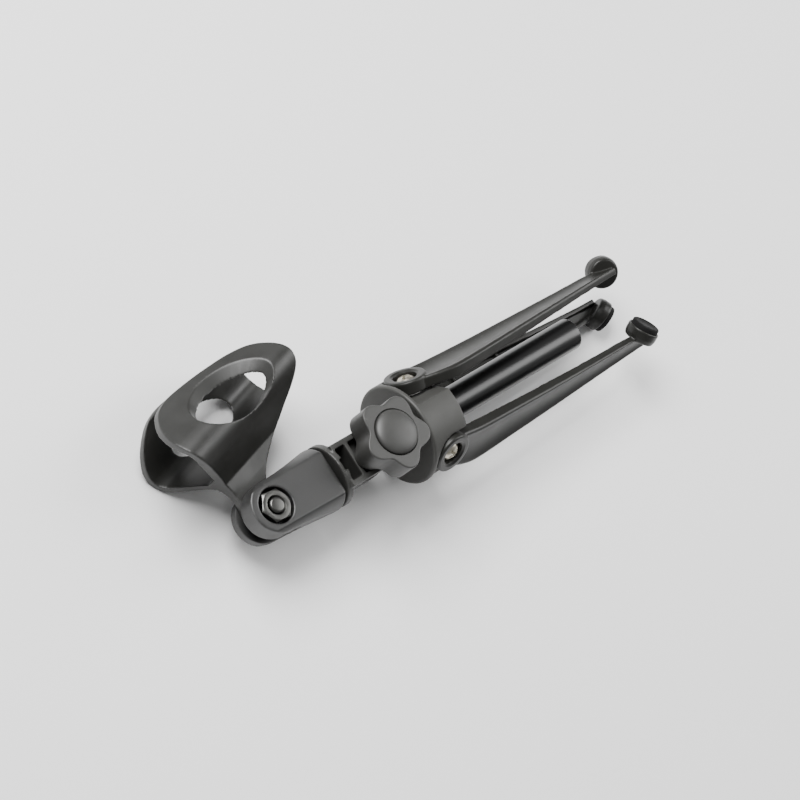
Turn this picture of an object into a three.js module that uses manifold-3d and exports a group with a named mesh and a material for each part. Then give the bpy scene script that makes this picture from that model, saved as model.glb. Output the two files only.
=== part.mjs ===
// Desktop mic stand, folded: mini tripod, height tube, tilting arm, thread adapter and mic clip.
// Modelled along its own stand axis: +X runs from the clip to the feet, +Z is the side the
// clamp knob faces, and the table lies under -Z. Lengths are in mm, angles in degrees.

import * as THREE from 'three';
import { mergeVertices } from 'three/addons/utils/BufferGeometryUtils.js';
import Module from 'manifold-3d';

const wasm = await Module();
wasm.setup();

// ---------------------------------------------------------------- driving dimensions

const GAP = 0.3;                    // clear space between neighbouring pieces
const ROUND_STEPS = 40;             // facets on a large round

const HUB_RADIUS = 20;
const HUB_LENGTH = 18;
const HUB_RIM = 2;                  // full-round band in front of the leg pockets
const HUB_FLAT = 13.5;              // distance from the stand axis to each leg flat
const HUB_EDGE = 0.7;

const LEG_DIRECTIONS = { a: 60, b: -60, c: 180 };   // measured from +Z toward +Y
const LEG_PIVOT_X = 10.6;
const LEG_BOSS_RADIUS = 8.2;
const LEG_BOSS_TOP = 20.1;          // distance from the stand axis to the boss face
const LEG_UNDERSIDE = 14.8;
const LEG_WALL = 1.9;
const LEG_RIBS = [40, 58, 76, 94];  // distances of the cross ribs under a leg
const SCREW_SEAT = 17.1;            // distance from the stand axis to the recess under each head
const LEG_OPEN_ANGLE = 62;          // swing that lays the pads flat, counted from a straight leg
const LEG_OVERFOLD = { a: 4, b: -1.2, c: 0.4 };     // how far past straight each leg is folded

const FOOT_X = 129.7;               // centre of the pad's face on a straight leg
const FOOT_Y = 1.2;
const FOOT_Z = 13.8;
const CUP_RADIUS = 6.6;
const CUP_LENGTH = 5.4;
const PAD_RADIUS = 5.8;
const PAD_PROUD = 2;

const TUBE_RADIUS = 6.5;
const TUBE_WALL = 1.2;
const TUBE_END = 97.5;

const TILT_X = -15;               // tilt axis of the arm, parallel to Z
const LUG_RADIUS = 8.4;
const LUG_HALF = 3.9;
const ARM_HALF_WIDTH = 8.6;
const ARM_HALF_HEIGHT = 11;
const ARM_WALL = 2.1;
const FLANGE_RADIUS = 12.3;
const FLANGE_START = -37;
const FLANGE_THICKNESS = 2.8;

const KNOB_RADIUS = 14.4;
const KNOB_VALLEY = 11.1;
const KNOB_LOBES = 5;
const KNOB_BOTTOM = 11.5;
const KNOB_TOP = 22.5;
const KNOB_PHASE = -25;
const CAP_SEAT_RADIUS = 8.9;

const ADAPTER_END = -38;
const ADAPTER_RADIUS = 12.4;
const ADAPTER_FLAT = 8.8;           // half thickness between the two flat faces
const CLIP_X = -66;                 // tilt axis of the clip, parallel to Z
const EAR_RADIUS = 10;
const SLOT_TOP = -0.2;
const SLOT_BOTTOM = -4.7;
const THREAD_RADIUS = 4.8;          // 3/8 inch stand thread
const INSERT_RADIUS = 7;

const NUT_RADIUS = 6.4;
const NUT_POCKET_RADIUS = 6.9;
const BOLT_RADIUS = 3.1;

const CLIP_CENTRE_Z = (SLOT_TOP + SLOT_BOTTOM) / 2;
const CLIP_ANGLE = 16;              // direction of the mic, from +X toward +Y
const CLIP_WALL = 3.2;
const TONGUE_HALF = 2;
const WING_WIDEST = 18;

const FINISH = {
  mouldedCharcoal: { color: 0x3b3d3d, roughness: 0.62, metalness: 0 },
  satinCharcoal: { color: 0x2c2e2f, roughness: 0.48, metalness: 0 },
  adapterGrey: { color: 0x33363a, roughness: 0.42, metalness: 0 },
  legBlack: { color: 0x242627, roughness: 0.38, metalness: 0 },
  glossBlack: { color: 0x0c0d0e, roughness: 0.18, metalness: 0.3 },
  nickel: { color: 0xbdb6a8, roughness: 0.3, metalness: 1 },
  darkSteel: { color: 0x4a4c4e, roughness: 0.35, metalness: 1 },
  brass: { color: 0xb08d4a, roughness: 0.35, metalness: 1 },
  blackRubber: { color: 0x141516, roughness: 0.85, metalness: 0 },
  nylon: { color: 0x8d8d88, roughness: 0.6, metalness: 0 },
};

// ---------------------------------------------------------------- solid helpers

const radians = THREE.MathUtils.degToRad;

function solid(geometry) {
  const bare = geometry.clone();
  bare.deleteAttribute('normal');
  bare.deleteAttribute('uv');
  const merged = mergeVertices(bare, 1e-4);
  return new wasm.Manifold(new wasm.Mesh({
    numProp: 3,
    vertProperties: new Float32Array(merged.attributes.position.array),
    triVerts: new Uint32Array(merged.index.array),
  }));
}

function geometryOf(manifold) {
  const mesh = manifold.getMesh();
  const indexed = new THREE.BufferGeometry();
  indexed.setAttribute('position', new THREE.BufferAttribute(new Float32Array(mesh.vertProperties), 3));
  indexed.setIndex(new THREE.BufferAttribute(new Uint32Array(mesh.triVerts), 1));
  const flat = indexed.toNonIndexed();
  flat.computeVertexNormals();
  return flat;
}

function union(...solids) {
  return solids.reduce((whole, next) => whole.add(next));
}

function cut(body, ...tools) {
  return tools.reduce((left, tool) => left.subtract(tool), body);
}

// Turned shape from [radius, height] points; the profile starts and ends on the turning axis.
function turned(points, axis = 'z', steps = ROUND_STEPS) {
  const profile = points.map(([radius, height]) => new THREE.Vector2(radius, height));
  const geometry = new THREE.LatheGeometry(profile, steps);
  geometry.rotateX(Math.PI / 2);
  if (axis === 'x') {
    geometry.rotateY(Math.PI / 2);
  }
  return solid(geometry);
}

// Round bar along an axis, with an optional chamfer at both ends.
function bar(radius, start, end, axis = 'z', chamfer = 0, steps = ROUND_STEPS) {
  const points = [[0, start]];
  if (chamfer > 0) {
    points.push([radius - chamfer, start], [radius, start + chamfer]);
    points.push([radius, end - chamfer], [radius - chamfer, end]);
  } else {
    points.push([radius, start], [radius, end]);
  }
  points.push([0, end]);
  return turned(points, axis, steps);
}

// Hollow sleeve along an axis.
function sleeve(outer, inner, start, end, axis = 'z', chamfer = 0, steps = ROUND_STEPS) {
  return cut(bar(outer, start, end, axis, chamfer, steps), bar(inner, start - 1, end + 1, axis, 0, steps));
}

// Plate drawn in the XY plane and raised from one height to another, edges softened by a bevel.
function plate(shape, bottom, top, bevel = 0, curveSegments = 10) {
  const geometry = new THREE.ExtrudeGeometry(shape, {
    depth: top - bottom - 2 * bevel,
    bevelEnabled: bevel > 0,
    bevelThickness: bevel,
    bevelSize: bevel,
    bevelOffset: -bevel,
    bevelSegments: 2,
    curveSegments,
  });
  geometry.translate(0, 0, bottom + bevel);
  return solid(geometry);
}

function box(xRange, yRange, zRange) {
  const geometry = new THREE.BoxGeometry(
    xRange[1] - xRange[0],
    yRange[1] - yRange[0],
    zRange[1] - zRange[0],
  );
  geometry.translate(
    (xRange[0] + xRange[1]) / 2,
    (yRange[0] + yRange[1]) / 2,
    (zRange[0] + zRange[1]) / 2,
  );
  return solid(geometry);
}

function polygon(points) {
  return new THREE.Shape(points.map(([x, y]) => new THREE.Vector2(x, y)));
}

// Closed smooth outline through the given points.
function smoothOutline(points, steps) {
  const curve = new THREE.CatmullRomCurve3(
    points.map(([x, y]) => new THREE.Vector3(x, y, 0)),
    true,
    'centripetal',
  );
  return polygon(curve.getPoints(steps).slice(0, -1).map((point) => [point.x, point.y]));
}

// Skin through equal-length rings of points, capped at both ends.
function loft(rings) {
  const count = rings[0].length;
  const vertices = [];
  const faces = [];
  rings.forEach((ring) => ring.forEach((point) => vertices.push(...point)));
  for (let station = 0; station < rings.length - 1; station += 1) {
    for (let i = 0; i < count; i += 1) {
      const next = (i + 1) % count;
      const here = station * count;
      const there = here + count;
      faces.push(here + i, here + next, there + next, here + i, there + next, there + i);
    }
  }
  const capOutline = (ring) => ring.map((point) => new THREE.Vector2(point[1], point[2]));
  const last = (rings.length - 1) * count;
  THREE.ShapeUtils.triangulateShape(capOutline(rings[0]), []).forEach(([i, j, k]) => {
    faces.push(k, j, i);
  });
  THREE.ShapeUtils.triangulateShape(capOutline(rings[rings.length - 1]), []).forEach(([i, j, k]) => {
    faces.push(last + i, last + j, last + k);
  });
  const geometry = new THREE.BufferGeometry();
  geometry.setAttribute('position', new THREE.Float32BufferAttribute(vertices, 3));
  geometry.setIndex(faces);
  return solid(geometry);
}

function hexagon(radius, turn = 0) {
  return polygon(Array.from({ length: 6 }, (_, side) => {
    const angle = radians(60 * side + turn);
    return [radius * Math.cos(angle), radius * Math.sin(angle)];
  }));
}

// ---------------------------------------------------------------- hub

function makeHub() {
  const body = bar(HUB_RADIUS, 0, HUB_LENGTH, 'x', HUB_EDGE, 60);
  const bore = bar(TUBE_RADIUS + GAP, -1, HUB_LENGTH + 1, 'x');
  const pocketRadius = LEG_BOSS_RADIUS + 0.5;
  const cutters = Object.values(LEG_DIRECTIONS).map((direction) => {
    const outline = new THREE.Shape();
    outline.moveTo(LEG_PIVOT_X, pocketRadius);
    outline.absarc(LEG_PIVOT_X, 0, pocketRadius, Math.PI / 2, Math.PI, false);
    outline.lineTo(HUB_RIM, -HUB_RADIUS);
    outline.lineTo(HUB_LENGTH + 2, -HUB_RADIUS);
    outline.lineTo(HUB_LENGTH + 2, pocketRadius);
    outline.closePath();
    const pocket = plate(outline, HUB_FLAT, HUB_RADIUS + 2, 0, 14);
    const screwHole = bar(2.2, HUB_FLAT - 6, HUB_FLAT + 1, 'z', 0, 20).translate([LEG_PIVOT_X, 0, 0]);
    return pocket.add(screwHole).rotate([-direction, 0, 0]);
  });
  return cut(body, bore, ...cutters);
}

// ---------------------------------------------------------------- legs

// Stations along the leg: distance, sideways centre, half width, outer height, inner height.
const LEG_STATIONS = [
  [12, -0.2, 7.6, 19.5, LEG_UNDERSIDE],
  [19, -2.6, 8.6, 19.4, LEG_UNDERSIDE],
  [28, -4.4, 8.8, 19.2, 14.2],
  [48, -5, 7.6, 18.5, 14],
  [72, -5.3, 6.2, 17.8, 13.7],
  [96, -5.4, 4.9, 17, 13.4],
  [118, -5.4, 3.9, 16.3, 13],
  [126, -5.8, 3, 15.9, 12.9],
];

// Section of the leg: two rounded edge ribs, a shallow channel between them, hollow underneath.
function legSection([x, centre, half, outer, inner]) {
  const crown = Math.min(1.1, half * 0.16);
  const deep = inner + (outer - inner) * 0.42;
  const right = [
    [0, outer - crown],
    [half * 0.34, outer - crown * 0.85],
    [half * 0.62, outer - crown * 0.2],
    [half * 0.8, outer],
    [half * 0.95, outer - 0.5],
    [half, outer - 1.6],
    [half, inner],
    [half - LEG_WALL, inner],
    [half - LEG_WALL - 0.3, deep],
    [0, deep],
  ];
  const left = right.slice(1, -1).reverse().map(([y, z]) => [-y, z]);
  return [...right, ...left].reverse().map(([y, z]) => [x, centre + y, z]);
}

function footFrame(manifold) {
  // Turns a shape made around +Z so that +Z becomes the direction the pad faces when folded.
  return manifold
    .rotate([-90, 0, 0])
    .rotate([0, 0, -(90 - LEG_OPEN_ANGLE)])
    .translate([FOOT_X, FOOT_Y, FOOT_Z]);
}

function makeLeg() {
  const boss = bar(LEG_BOSS_RADIUS, LEG_UNDERSIDE, LEG_BOSS_TOP, 'z', 0.6).translate([LEG_PIVOT_X, 0, 0]);
  const beam = loft(LEG_STATIONS.map(legSection));
  const cup = footFrame(turned([
    [0, -CUP_LENGTH - PAD_PROUD],
    [CUP_RADIUS - 1.6, -CUP_LENGTH - PAD_PROUD],
    [CUP_RADIUS - 0.6, -CUP_LENGTH - PAD_PROUD + 0.6],
    [CUP_RADIUS, -CUP_LENGTH - PAD_PROUD + 2],
    [CUP_RADIUS, -PAD_PROUD - 0.5],
    [CUP_RADIUS - 0.5, -PAD_PROUD],
    [0, -PAD_PROUD],
  ], 'z', 32));
  const padSeat = footFrame(bar(PAD_RADIUS - 1.2 + GAP, -PAD_PROUD - 2.4, 1, 'z', 0, 28));
  const ribs = LEG_RIBS.map((x) => box([x - 0.6, x + 0.6], [-12, 3], [14.2, 16.4]));
  const beamWithRibs = union(beam, ...ribs.map((rib) => rib.intersect(beamEnvelope())));
  const screwHole = bar(2.3, 0, 30, 'z', 0, 20).translate([LEG_PIVOT_X, 0, 0]);
  const headSeat = bar(4.6, SCREW_SEAT, 30, 'z', 0, 28).translate([LEG_PIVOT_X, 0, 0]);
  return cut(union(boss, beamWithRibs, cup), padSeat, screwHole, headSeat);
}

// Filled outline of the beam, used to trim the cross ribs.
function beamEnvelope() {
  return loft(LEG_STATIONS.map(([x, centre, half, outer, inner]) => [
    [x, centre - half + 0.4, inner],
    [x, centre + half - 0.4, inner],
    [x, centre + half - 0.4, outer - 2],
    [x, centre - half + 0.4, outer - 2],
  ]));
}

function makeLegWasher() {
  return sleeve(6, 2.4, HUB_FLAT + GAP, LEG_UNDERSIDE - GAP, 'z', 0, 24).translate([LEG_PIVOT_X, 0, 0]);
}

function makeLegScrew() {
  const head = SCREW_SEAT + GAP;
  const body = turned([
    [0, HUB_FLAT - 5.4],
    [1.6, HUB_FLAT - 5.4],
    [1.9, HUB_FLAT - 5],
    [1.9, head],
    [3.8, head],
    [4.1, head + 0.5],
    [3.9, head + 1.2],
    [2.9, head + 1.9],
    [1.5, head + 2.2],
    [0, head + 2.25],
  ], 'z', 24);
  const slots = [35, 125].map((turn) => (
    box([-2, 2], [-0.4, 0.4], [head + 0.9, head + 4]).rotate([0, 0, turn])
  ));
  return cut(body, ...slots).translate([LEG_PIVOT_X, 0, 0]);
}

function makeFootPad() {
  return footFrame(turned([
    [0, -PAD_PROUD - 2.1],
    [PAD_RADIUS - 1.2, -PAD_PROUD - 2.1],
    [PAD_RADIUS - 1.2, -PAD_PROUD + GAP],
    [PAD_RADIUS, -PAD_PROUD + GAP],
    [PAD_RADIUS, -0.5],
    [PAD_RADIUS - 0.5, 0],
    [0, 0],
  ], 'z', 28));
}

// ---------------------------------------------------------------- tube and tilt lug

function makeTube() {
  return sleeve(TUBE_RADIUS, TUBE_RADIUS - TUBE_WALL, -GAP, TUBE_END, 'x', 0.3);
}

function makeTubeCap() {
  const inside = TUBE_RADIUS - TUBE_WALL - GAP;
  return turned([
    [0, TUBE_END - 7],
    [inside - 0.4, TUBE_END - 7],
    [inside, TUBE_END - 6.4],
    [inside, TUBE_END - 1.1],
    [inside - 0.5, TUBE_END - 0.7],
    [0, TUBE_END - 0.5],
  ], 'x', 36);
}

function makeTiltLug() {
  const collar = bar(9, -4.6, -2 * GAP, 'x', 0.5);
  const plug = bar(TUBE_RADIUS - TUBE_WALL - GAP, -1, 14, 'x', 0, 36);
  const outline = new THREE.Shape();
  outline.moveTo(-3, 6);
  outline.lineTo(TILT_X + 4, LUG_RADIUS - 0.8);
  outline.absarc(TILT_X, 0, LUG_RADIUS, Math.PI * 0.36, Math.PI * 1.64, false);
  outline.lineTo(-3, -6);
  outline.closePath();
  const tongue = plate(outline, -LUG_HALF, LUG_HALF, 0.4, 20);
  const hole = bar(BOLT_RADIUS + GAP, -10, 10, 'z', 0, 28).translate([TILT_X, 0, 0]);
  return cut(union(collar, plug, tongue), hole);
}

// ---------------------------------------------------------------- arm

function makeArm() {
  const rear = FLANGE_START + FLANGE_THICKNESS;
  const outline = new THREE.Shape();
  outline.moveTo(rear - 1, ARM_HALF_WIDTH);
  outline.lineTo(rear - 1, -ARM_HALF_WIDTH);
  outline.lineTo(TILT_X, -ARM_HALF_WIDTH);
  outline.absarc(TILT_X, 0, ARM_HALF_WIDTH, -Math.PI / 2, Math.PI / 2, false);
  outline.closePath();
  const block = plate(outline, -ARM_HALF_HEIGHT, ARM_HALF_HEIGHT, 0.5, 20);
  const flange = bar(FLANGE_RADIUS, FLANGE_START, rear, 'x', 0.4, 48);
  const slotEnd = TILT_X - LUG_RADIUS - 1;
  const slot = box([slotEnd, 0], [-12, 12], [-LUG_HALF - GAP, LUG_HALF + GAP]);
  const inner = ARM_HALF_WIDTH - ARM_WALL;
  const ribNear = slotEnd - 1.4;
  const ribFar = -29.5;
  const frontPocket = box([rear, ribFar], [-inner, inner], [-ARM_HALF_HEIGHT + 2.5, 20]);
  const capPocket = cut(
    box([ribFar + 1.7, TILT_X - 1], [-inner, inner], [LUG_HALF + 3, 20]),
    bar(5.4, 0, 30).translate([TILT_X, 0, 0]),
  );
  const innerPocket = box([ribFar + 1.7, ribNear], [-inner, inner], [-6, 20]);
  const flangeNotch = box([rear - 1.2, rear + 1], [-2, 2.6], [ARM_HALF_HEIGHT - 5, 20]);
  const hole = bar(BOLT_RADIUS + GAP, -30, 30, 'z', 0, 28).translate([TILT_X, 0, 0]);
  const headPocket = plate(hexagon(5.6), -ARM_HALF_HEIGHT - 1, -ARM_HALF_HEIGHT + 3.2)
    .translate([TILT_X, 0, 0]);
  const pockets = [frontPocket, capPocket, innerPocket, headPocket];
  return cut(union(block, flange), slot, flangeNotch, hole, ...pockets);
}

function makeClampBolt() {
  const head = plate(hexagon(5.3), -ARM_HALF_HEIGHT + 0.2, -ARM_HALF_HEIGHT + 2.9, 0.2);
  const shank = bar(BOLT_RADIUS - 0.1, -ARM_HALF_HEIGHT + 2, KNOB_TOP - 3, 'z', 0, 28);
  return union(head, shank).translate([TILT_X, 0, 0]);
}

// ---------------------------------------------------------------- knob

function knobOutline(tip, valley) {
  const middle = (tip + valley) / 2;
  const swing = (tip - valley) / 2;
  const steps = 12 * KNOB_LOBES;
  return polygon(Array.from({ length: steps }, (_, i) => {
    const angle = (2 * Math.PI * i) / steps;
    const wave = Math.cos(KNOB_LOBES * angle);
    const radius = middle + swing * (wave + 0.12 * (1 - wave * wave));
    const turned = angle + radians(KNOB_PHASE);
    return [radius * Math.cos(turned), radius * Math.sin(turned)];
  }));
}

function makeKnob() {
  const body = plate(knobOutline(KNOB_RADIUS, KNOB_VALLEY), KNOB_BOTTOM, KNOB_TOP, 0.9);
  const capSeat = bar(CAP_SEAT_RADIUS, KNOB_TOP - 1.6, KNOB_TOP + 5);
  const hole = bar(BOLT_RADIUS + GAP, 0, KNOB_TOP - 1, 'z', 0, 28);
  const underside = sleeve(9.2, 6.4, KNOB_BOTTOM - 1, KNOB_BOTTOM + 5, 'z', 0, 40);
  return cut(body, capSeat, hole, underside).translate([TILT_X, 0, 0]);
}

function makeKnobCap() {
  const seat = KNOB_TOP - 1.6 + GAP;
  const rim = CAP_SEAT_RADIUS - GAP;
  const points = [[0, seat], [rim, seat], [rim, KNOB_TOP + 0.1]];
  const steps = 5;
  for (let i = 1; i <= steps; i += 1) {
    const angle = (Math.PI / 2) * (i / steps);
    points.push([rim * Math.cos(angle), KNOB_TOP + 0.1 + 2.2 * Math.sin(angle)]);
  }
  return turned(points).translate([TILT_X, 0, 0]);
}

// ---------------------------------------------------------------- adapter

function makeAdapter() {
  const round = turned([
    [0, CLIP_X - 14],
    [ADAPTER_RADIUS - 0.6, CLIP_X - 14],
    [ADAPTER_RADIUS, ADAPTER_END - 0.6],
    [ADAPTER_RADIUS - 0.5, ADAPTER_END],
    [0, ADAPTER_END],
  ], 'x', 60);
  const outline = new THREE.Shape();
  outline.moveTo(CLIP_X, EAR_RADIUS);
  outline.absarc(CLIP_X, 0, EAR_RADIUS, Math.PI / 2, Math.PI * 1.5, false);
  outline.quadraticCurveTo(CLIP_X + 12, -EAR_RADIUS - 0.2, ADAPTER_END + 2, -ADAPTER_RADIUS - 0.6);
  outline.lineTo(ADAPTER_END + 2, ADAPTER_RADIUS + 0.6);
  outline.quadraticCurveTo(CLIP_X + 12, EAR_RADIUS + 0.2, CLIP_X, EAR_RADIUS);
  const slab = plate(outline, -ADAPTER_FLAT, ADAPTER_FLAT, 0.5, 14);
  const slot = box([CLIP_X - 20, CLIP_X + 9.5], [-14, 14], [SLOT_BOTTOM, SLOT_TOP]);
  const bolt = bar(BOLT_RADIUS + GAP, -20, 20, 'z', 0, 28).translate([CLIP_X, 0, 0]);
  const nutPocket = bar(NUT_POCKET_RADIUS, ADAPTER_FLAT - 4.6, 20, 'z', 0, 36).translate([CLIP_X, 0, 0]);
  const headPocket = bar(NUT_POCKET_RADIUS, -20, -ADAPTER_FLAT + 2.2, 'z', 0, 36).translate([CLIP_X, 0, 0]);
  const socket = bar(INSERT_RADIUS + GAP, -53, 0, 'x', 0, 32);
  return cut(round.intersect(slab), slot, bolt, nutPocket, headPocket, socket);
}

function makeThreadInsert() {
  return sleeve(INSERT_RADIUS, THREAD_RADIUS + GAP, -52.6, ADAPTER_END - 0.4, 'x', 0.2, 28);
}

function makeThreadStud() {
  const crest = THREAD_RADIUS;
  const root = THREAD_RADIUS - 0.6;
  const pitch = 1.6;
  const start = -51.5;
  const end = FLANGE_START - GAP;
  const points = [[0, start], [root - 0.5, start]];
  for (let x = start + 0.5; x < end - 1.2; x += pitch) {
    points.push([root, x], [crest, x + pitch / 2]);
  }
  points.push([root, end - 0.4], [root, end], [0, end]);
  return turned(points, 'x', 20);
}

function makeClipBolt() {
  const head = plate(hexagon(NUT_RADIUS, 12), -ADAPTER_FLAT - 1, -ADAPTER_FLAT + 1.9, 0.3);
  const shank = bar(BOLT_RADIUS, -ADAPTER_FLAT + 1, ADAPTER_FLAT + 0.9, 'z', 0.5, 24);
  return union(head, shank).translate([CLIP_X, 0, 0]);
}

function makeClipNut() {
  const seat = ADAPTER_FLAT - 4.6 + GAP;
  const top = ADAPTER_FLAT + 0.1;
  const body = plate(hexagon(NUT_RADIUS, -4), seat, top);
  const chamfer = turned([
    [0, seat - 1],
    [NUT_RADIUS + 2, seat - 1],
    [NUT_RADIUS + 2, top - 1.6],
    [NUT_RADIUS - 0.9, top + 0.01],
    [0, top + 0.01],
  ], 'z', 36);
  return cut(body.intersect(chamfer), bar(BOLT_RADIUS + GAP, 0, 20, 'z', 0, 24)).translate([CLIP_X, 0, 0]);
}

// ---------------------------------------------------------------- mic clip

// Outer surface of one wing: height above the tilt axis, distance from the clip's middle plane.
const WING_PROFILE = [
  [17.5, 3.1], [20.5, 6.3], [23.7, 10.2], [26.8, 13.9], [30, 16.8], [33.2, 18], [36.4, 17.8],
  [39.6, 16.3], [43, 13.8], [46.5, 11], [50, 8.2], [54.5, 5],
];

// Outline of the clip seen along the tilt axis: distance along the mic, height above the axis.
const CLIP_OUTLINE = [
  [-6.6, 0], [-6.2, 4.5], [-4.4, 9], [-3.6, 14], [-4.6, 19.5], [-8.4, 25.4], [-11.6, 30.5],
  [-13.4, 36.5], [-13.4, 41.5], [-11.2, 46.4], [-7.4, 50.2], [-2.6, 52.8], [4, 53.6], [14, 52.6],
  [24, 50.9], [33, 48.8], [40.5, 45.6], [45.2, 40.6], [47.4, 34.6], [46.4, 29], [42, 24.9],
  [36.6, 21.9], [30.4, 18.6], [23.6, 15.6], [16.6, 12.1], [10.8, 8], [7.2, 3.6], [6.2, -1],
  [4.6, -4.6], [0, -6.6], [-4.6, -4.8],
];

const THROAT_HEIGHT = 21.5;

// Oval opening of each wing on the wing's outer face and on its inner face.
const HOLE_OUTER = { middle: 18.6, height: 38.9, long: 18.6, short: 9.9 };
const HOLE_INNER = { middle: 16.2, height: 36.1, long: 15, short: 7.2 };
const HOLE_OVERRUN = 4;             // how far the cutter runs past the wing's outer face
const HOLE_TILT = -9;

function offsetInward(profile, distance) {
  return profile.map(([height, out], i) => {
    const [h0, o0] = profile[Math.max(i - 1, 0)];
    const [h1, o1] = profile[Math.min(i + 1, profile.length - 1)];
    const length = Math.hypot(h1 - h0, o1 - o0);
    return [height + ((o1 - o0) / length) * distance, out - ((h1 - h0) / length) * distance];
  });
}

// The section is drawn with the clip's height along X and its width along Y.
function clipSection() {
  const outer = new THREE.SplineCurve(
    WING_PROFILE.map(([height, out]) => new THREE.Vector2(height, out)),
  ).getPoints(20).map((point) => [point.x, point.y]);
  const inner = offsetInward(outer, CLIP_WALL)
    .filter(([height, out]) => out > 1.2 && height > THROAT_HEIGHT)
    .reverse();
  const half = [[-12, TONGUE_HALF], [12, TONGUE_HALF], ...outer, ...inner];
  const mirrored = half.slice().reverse().map(([height, out]) => [height, -out]);
  return polygon([...half, ...mirrored]);
}

// Distance of a wing's outer face from the clip's middle plane.
function wingFace(height) {
  const above = WING_PROFILE.findIndex(([profileHeight]) => profileHeight >= height);
  const [h0, o0] = WING_PROFILE[above - 1];
  const [h1, o1] = WING_PROFILE[above];
  return THREE.MathUtils.mapLinear(height, h0, h1, o0, o1);
}

// Ring round an opening, at a depth below the wing's outer face: out, along the mic, height.
function holeRing(oval, depth) {
  const steps = 36;
  const tilt = radians(HOLE_TILT);
  return Array.from({ length: steps }, (_, i) => {
    const angle = (2 * Math.PI * i) / steps;
    const along = oval.long * Math.cos(angle);
    const across = oval.short * Math.sin(angle);
    const height = oval.height + along * Math.sin(tilt) + across * Math.cos(tilt);
    return [
      Math.max(wingFace(height) - depth, 0),
      oval.middle + along * Math.cos(tilt) - across * Math.sin(tilt),
      height,
    ];
  });
}

function makeClip() {
  const section = new THREE.ExtrudeGeometry(clipSection(), { depth: 80, bevelEnabled: false });
  // Section height becomes clip Y, section width becomes Z, and the depth runs along the mic.
  section.applyMatrix4(new THREE.Matrix4().makeBasis(
    new THREE.Vector3(0, 1, 0),
    new THREE.Vector3(0, 0, 1),
    new THREE.Vector3(1, 0, 0),
  ));
  section.translate(-25, 0, 0);
  const side = plate(smoothOutline(CLIP_OUTLINE, 76), -30, 30);
  // Rings run outward along X; the cyclic turn X to Z, Y to X, Z to Y stands the hole on the wing.
  const hole = loft([
    holeRing(HOLE_INNER, 2 * WING_WIDEST),
    holeRing(HOLE_INNER, CLIP_WALL),
    holeRing(HOLE_OUTER, 0),
    holeRing(HOLE_OUTER, -HOLE_OVERRUN),
  ]).rotate([0, -90, -90]);
  const boltHole = bar(BOLT_RADIUS + GAP, -20, 20, 'z', 0, 28);
  return cut(solid(section).intersect(side), hole, hole.mirror([0, 0, 1]), boltHole)
    .rotate([0, 0, CLIP_ANGLE])
    .translate([CLIP_X, 0, CLIP_CENTRE_Z]);
}

// ---------------------------------------------------------------- assembly

const stand = new THREE.Group();
stand.name = 'desktop_mic_stand';

function add(name, manifold, finish) {
  const mesh = new THREE.Mesh(geometryOf(manifold), new THREE.MeshStandardMaterial(FINISH[finish]));
  mesh.name = name;
  stand.add(mesh);
}

add('hub', makeHub(), 'mouldedCharcoal');
Object.entries(LEG_DIRECTIONS).forEach(([letter, direction]) => {
  const place = (manifold) => manifold.rotate([-direction, 0, 0]);
  const fold = (manifold) => place(manifold
    .translate([-LEG_PIVOT_X, 0, 0])
    .rotate([0, 0, LEG_OVERFOLD[letter]])
    .translate([LEG_PIVOT_X, 0, 0]));
  add(`leg_${letter}`, fold(makeLeg()), 'legBlack');
  add(`leg_washer_${letter}`, place(makeLegWasher()), 'nylon');
  add(`leg_screw_${letter}`, place(makeLegScrew()), 'nickel');
  add(`foot_pad_${letter}`, fold(makeFootPad()), 'blackRubber');
});
add('height_tube', makeTube(), 'glossBlack');
add('tube_cap', makeTubeCap(), 'satinCharcoal');
add('tilt_lug', makeTiltLug(), 'satinCharcoal');
add('tilt_arm', makeArm(), 'mouldedCharcoal');
add('clamp_bolt', makeClampBolt(), 'darkSteel');
add('clamp_knob', makeKnob(), 'mouldedCharcoal');
add('knob_cap', makeKnobCap(), 'mouldedCharcoal');
add('thread_stud', makeThreadStud(), 'darkSteel');
add('thread_insert', makeThreadInsert(), 'brass');
add('clip_adapter', makeAdapter(), 'adapterGrey');
add('clip_bolt', makeClipBolt(), 'darkSteel');
add('clip_nut', makeClipNut(), 'darkSteel');
add('mic_clip', makeClip(), 'satinCharcoal');

// The stand's box is centred over the origin with its lowest point on the table.
const bounds = new THREE.Box3().setFromObject(stand);
const centre = bounds.getCenter(new THREE.Vector3());
stand.children.forEach((mesh) => mesh.geometry.translate(-centre.x, -centre.y, -bounds.min.z));

export default stand;
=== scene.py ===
# Looks of the folded desktop mic stand: fine moulded shells, materials, light and camera.
# Shapes are built in millimetres along the stand axis (X toward the feet, Z toward the knob,
# origin at the centre of the hub's front face) and placed in the frame in metres.

import math

import bmesh
import bpy
from mathutils import Euler, Matrix, Vector
from mathutils.geometry import tessellate_polygon


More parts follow.
